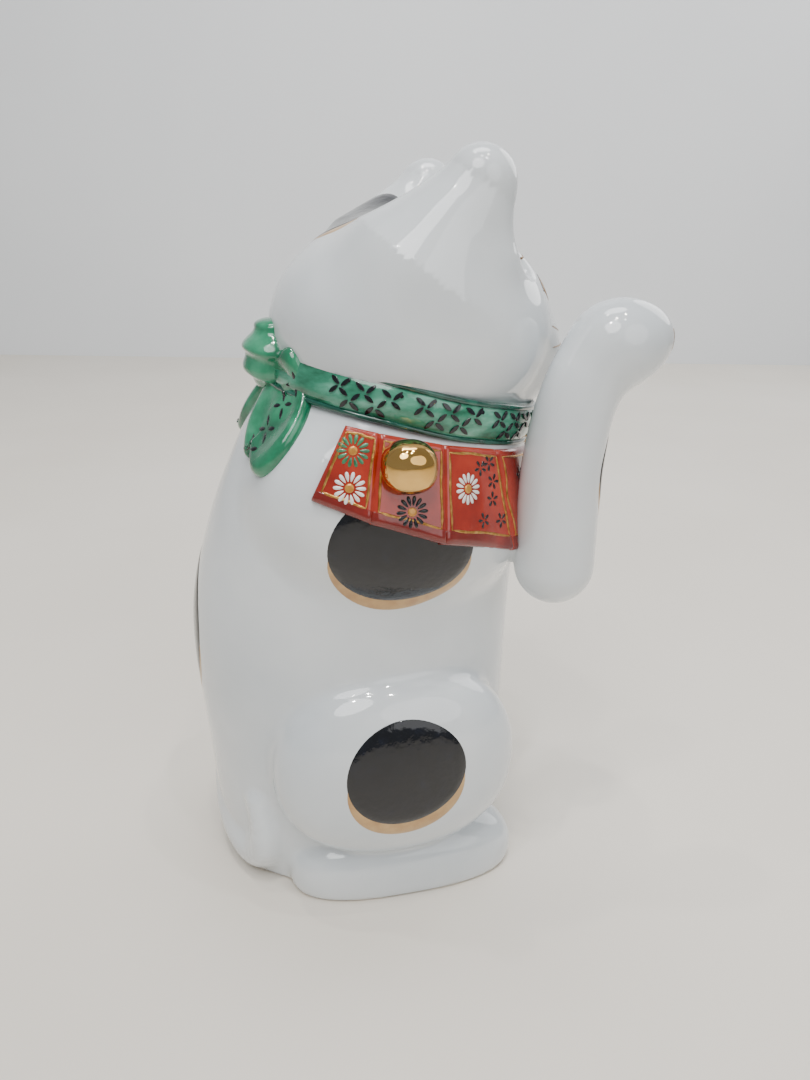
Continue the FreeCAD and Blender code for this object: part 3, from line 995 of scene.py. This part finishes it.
def single_petal(middle, way, tree, angle, long=PETAL_LONG, wide=PETAL_WIDE):
    """An almond-shaped petal lying at an angle on a surface."""
    right, up = frame_of(way)
    t = np.linspace(0, 2 * math.pi, 16, endpoint=False)
    a = long / 2 * np.cos(t)
    b = wide / 2 * np.sin(t) * (1 - 0.35 * np.cos(t) ** 2)
    c, s = math.cos(angle), math.sin(angle)
    outline = middle + (a * c - b * s)[:, None] * right + (a * s + b * c)[:, None] * up
    return pad(outline, way, tree, 0.16, 1)


def on_collar(along, height):
    """A place and inward direction on the collar from a distance along it, millimetres."""
    turn = 180.0 + math.degrees(along / (COLLAR_RADIUS + 6.0))
    place, way = collar_place(turn, height)
    return place, -way


collar_petals = []
diagonal = math.atan2(2 * LATTICE_HALF, LATTICE_STEP)
for start in (-32.5, -4.5, 24.0, 52.0, 108.0, 136.0):
    for node in range(5):
        height = LATTICE_HALF if node % 2 == 0 else -LATTICE_HALF
        toward = -1 if node % 2 == 0 else 1
        along = start + node * LATTICE_STEP
        outward_sign = -toward
        spots = [(along - LATTICE_STEP / 2, height + outward_sign * LATTICE_HALF, -outward_sign)]
        spots.append((along + LATTICE_STEP / 2, height + outward_sign * LATTICE_HALF, outward_sign))
        spots.append((along + LATTICE_STEP / 2, height + toward * LATTICE_HALF, toward))
        if node == 0:
            spots.append((along - LATTICE_STEP / 2, height + toward * LATTICE_HALF, -toward))
        for s, h, tilt in spots:
            shift = 0.82
            centre_s = along + (s - along) * shift
            centre_h = height + (h - height) * shift
            place, way = on_collar(centre_s, centre_h)
            collar_petals.append(single_petal(place, way, collar_tree, tilt * diagonal))
    for blob_s, blob_h in ((start + 2.6, 4.0), (start + 5 * LATTICE_STEP - 1.4, 3.4)):
        place, way = on_collar(blob_s, blob_h)
        collar_petals.append(single_petal(place, way, collar_tree, 0.0, 1.3, 1.2))
add_mesh("collar_petals", *joined(collar_petals), BLACK, "green_enamel")

tail_petals = []
for word, side in (("right", 1), ("left", -1)):
    tree = tail_trees[word]
    way = np.array([side * 0.82, -0.57, 0.0])
    right, up = frame_of(way)
    middle = np.array([-side * 24.0, 28.0, 182.5])
    for across, high_at in ((6.0, 11.0), (1.5, 4.0), (-2.5, -3.5), (-7.5, -10.0)):
        centre = middle + side * across * right + high_at * up
        for k in range(4):
            angle = math.radians(90 * k + 12 * side)
            spot = centre + 2.5 * (math.cos(angle) * right + math.sin(angle) * up)
            tail_petals.append(single_petal(spot, way, tree, angle, 3.3, 1.25))
add_mesh("ribbon_petals", *joined(tail_petals), BLACK, "green_enamel")

# ---------------------------------------------------------------- painted face


HEAD_NODES = [NAMES.index(name) for name in ("head_shell", "right_ear", "left_ear", "muzzle", "nose")]
head_tree = BVHTree.FromPolygons(verts.tolist(), quads[np.isin(owner, HEAD_NODES)].tolist())


def stroke(places, way, width, material_name, high=0.16, tree=head_tree):
    """A brush stroke on the white glaze through a few places seen along a direction."""
    places = np.array(places, float)
    at = np.linspace(0, len(places) - 1, 24)
    path = spline(np.arange(len(places)), places, at)
    spots, _ = cast(path, way, tree)
    spots = settle(spots, glaze, 2)
    face_strokes.setdefault(material_name, []).append(brush(spots, outward(spots), width, high))


face_strokes = {}
AHEAD = (0, 1, 0)
EYE_X, EYE_Z, EYE_HALF, EYE_TALL = 22.0, 222.0, 8.5, 4.6


def lid(side, along, tall):
    """A place on an eyelid's arc, in front of the face; along runs from -1 at the inner corner to 1."""
    return (side * (EYE_X + along * EYE_HALF), -90, EYE_Z + tall * (1 - along * along) + 1.2 * along)


for side in (-1, 1):
    look = (-side * 0.25, 1, 0)
    top = [lid(side, a, EYE_TALL) for a in (-1, -0.5, 0, 0.5, 1.15)]
    under = [lid(side, a, -0.75 * EYE_TALL) for a in (-1, -0.5, 0, 0.5, 1)]
    brow = [(side * (EYE_X + a * 7.0), -90, EYE_Z + 9.5 + 1.6 * (1 - a * a)) for a in (-1, 0, 1)]
    stroke(top, look, 1.1, "enamel_black")
    stroke(under, look, 0.7, "ink_gold_brown")
    stroke(brow, look, 0.8, "ink_gold_brown")
    right, up = frame_of(look)
    word = "right" if side < 0 else "left"
    iris = oval((side * EYE_X, -90, EYE_Z + 0.9), right, up, 3.6, 3.9, 28)
    iris = pad(iris, look, head_tree, 0.12, 4, refine=glaze)
    add_mesh(f"iris_{word}", *iris, CENTRE, "gold_lustre")
    pupil = oval((side * EYE_X, -90, EYE_Z + 0.9), right, up, 1.9, 3.4, 24)
    pupil = pad(pupil, look, head_tree, 0.2, 4, refine=glaze)
    add_mesh(f"pupil_{word}", *pupil, BLACK, "white_glaze")
    for lean, height in ((2.4, 207.0), (0.2, 203.0), (-2.2, 199.5)):
        whisker = [(side * a, -90, height + lean * (a - 15) / 12) for a in (15, 21, 27, 33)]
        stroke(whisker, (-side * 0.35, 1, 0), 0.55, "ink_gold_brown")
    mouth = [(0, -90, 204.5), (side * 2.5, -90, 201.0), (side * 6.0, -90, 200.0), (side * 9.0, -90, 202.0)]
    stroke(mouth, AHEAD, 0.8, "enamel_red")
    inner_ear = oval((side * 29.0, -50, 246.0), *frame_of(AHEAD), 5.5, 9.0, 28)
    inner_ear = pad(inner_ear, AHEAD, head_tree, 0.1, 5, refine=glaze)
    add_mesh(f"{word}_inner_ear_tint", *inner_ear, RED, "red_enamel")
for toe in (-5.0, 0.0, 5.0):
    claw = [(arm_x + toe, -110, 205.0), (arm_x + toe * 1.05, -110, 208.5), (arm_x + toe, -110, 212.0)]
    stroke(claw, AHEAD, 0.7, "ink_gold_brown", tree=body_tree)
for toe in (-4.5, 4.5):
    claw = [(25.0 + toe, -95, 3.5), (25.0 + toe, -95, 6.5), (25.0 + toe, -95, 9.5)]
    stroke(claw, AHEAD, 0.7, "ink_gold_brown", tree=body_tree)
for name, sets in face_strokes.items():
    add_mesh(f"face_strokes_{name}", *joined(sets), bpy.data.materials[name], "white_glaze")
nose_tint = oval((0, -78, 213.5), *frame_of(AHEAD), 4.0, 2.6, 24)
nose_tint = pad(nose_tint, AHEAD, head_tree, 0.12, 4, refine=glaze)
add_mesh("nose_tint", *nose_tint, RED, "red_enamel")


# ---------------------------------------------------------------- stage, light and camera


def area_light(name, place, target, size, power, tint=(1, 1, 1)):
    """A soft round light aimed at a place, metres."""
    light = bpy.data.lights.new(name, "AREA")
    light.shape = "DISK"
    light.size, light.energy, light.color = size, power, tint
    lamp = bpy.data.objects.new(name, light)
    lamp.location = place
    lamp.rotation_euler = (Vector(target) - Vector(place)).to_track_quat("-Z", "Y").to_euler()
    bpy.context.scene.collection.objects.link(lamp)


FLOOR = glossy("pale_floor", [(0.3, "ddd6cb"), (0.7, "e6e0d6")], 3, 0.5, coat=0.0, bump=0.02, fine=30)
floor_mesh = bpy.data.meshes.new("floor")
floor_mesh.from_pydata([(-3, -3, 0), (3, -3, 0), (3, 3, 0), (-3, 3, 0)], [], [(0, 1, 2, 3)])
floor_mesh.materials.append(FLOOR)
floor = bpy.data.objects.new("floor", floor_mesh)
bpy.context.scene.collection.objects.link(floor)

# A plain wall well behind the cat.
WALL = glossy("pale_wall", [(0.3, "e3e6ea"), (0.7, "e9ecef")], 2, 0.6, coat=0.0, bump=0.02, fine=30)
wall_mesh = bpy.data.meshes.new("wall")
wall_mesh.from_pydata([(0, -3, 0), (0, 3, 0), (0, 3, 2.6), (0, -3, 2.6)], [], [(0, 1, 2, 3)])
wall_mesh.materials.append(WALL)
wall = bpy.data.objects.new("wall", wall_mesh)
wall.location = (1.31, -0.35, 0)
wall.rotation_euler = (0, 0, math.radians(-14.0))
bpy.context.scene.collection.objects.link(wall)

MIDDLE = (0.0, 0.0, 0.13)
area_light("key", (-0.8, 0.5, 1.5), MIDDLE, 0.9, 13)
area_light("fill", (-1.2, -0.6, 0.9), MIDDLE, 1.2, 6)
area_light("front", (0.7, -1.2, 0.9), MIDDLE, 1.0, 6)
area_light("wall_wash", (0.3, -0.1, 1.6), (1.31, -0.35, 0.5), 0.8, 12)
CEILING_SPOTS = [(-0.38, 0.12), (-0.3, 0.05), (-0.2, -0.3), (-0.55, -0.2), (0.12, 0.25), (-0.45, 0.4)]
for number, (x, y) in enumerate(CEILING_SPOTS):
    area_light(f"ceiling_{number}", (x, y, 1.5), (x, y, 0), 0.035, 2.2, (1.0, 0.97, 0.93))

world = bpy.data.worlds.new("studio")
world.use_nodes = True
world.node_tree.nodes["Background"].inputs["Color"].default_value = (0.86, 0.88, 0.9, 1)
world.node_tree.nodes["Background"].inputs["Strength"].default_value = 0.4
bpy.context.scene.world = world

CAMERA_PLACE = (-0.290, 0.0504, 0.240)
CAMERA_TURN, CAMERA_DIP, CAMERA_ROLL = (math.radians(a) for a in (14.0, 20.8, 0.76))


def aim():
    """The camera's place and turn: looking across the cat's right side and a little down."""
    level = Vector((math.cos(CAMERA_TURN), -math.sin(CAMERA_TURN), 0))
    up = Vector((0, 0, 1))
    right = level.cross(up)
    ahead = level * math.cos(CAMERA_DIP) - up * math.sin(CAMERA_DIP)
    top = level * math.sin(CAMERA_DIP) + up * math.cos(CAMERA_DIP)
    side = right * math.cos(CAMERA_ROLL) + top * math.sin(CAMERA_ROLL)
    top = top * math.cos(CAMERA_ROLL) - right * math.sin(CAMERA_ROLL)
    turn = Matrix((side, top, -ahead)).transposed().to_4x4()
    return Matrix.Translation(CAMERA_PLACE) @ turn


lens = bpy.data.cameras.new("camera")
lens.lens, lens.sensor_width, lens.clip_start = 27.03, 36.0, 0.01
camera = bpy.data.objects.new("camera", lens)
camera.matrix_world = aim()
bpy.context.scene.collection.objects.link(camera)
bpy.context.scene.camera = camera
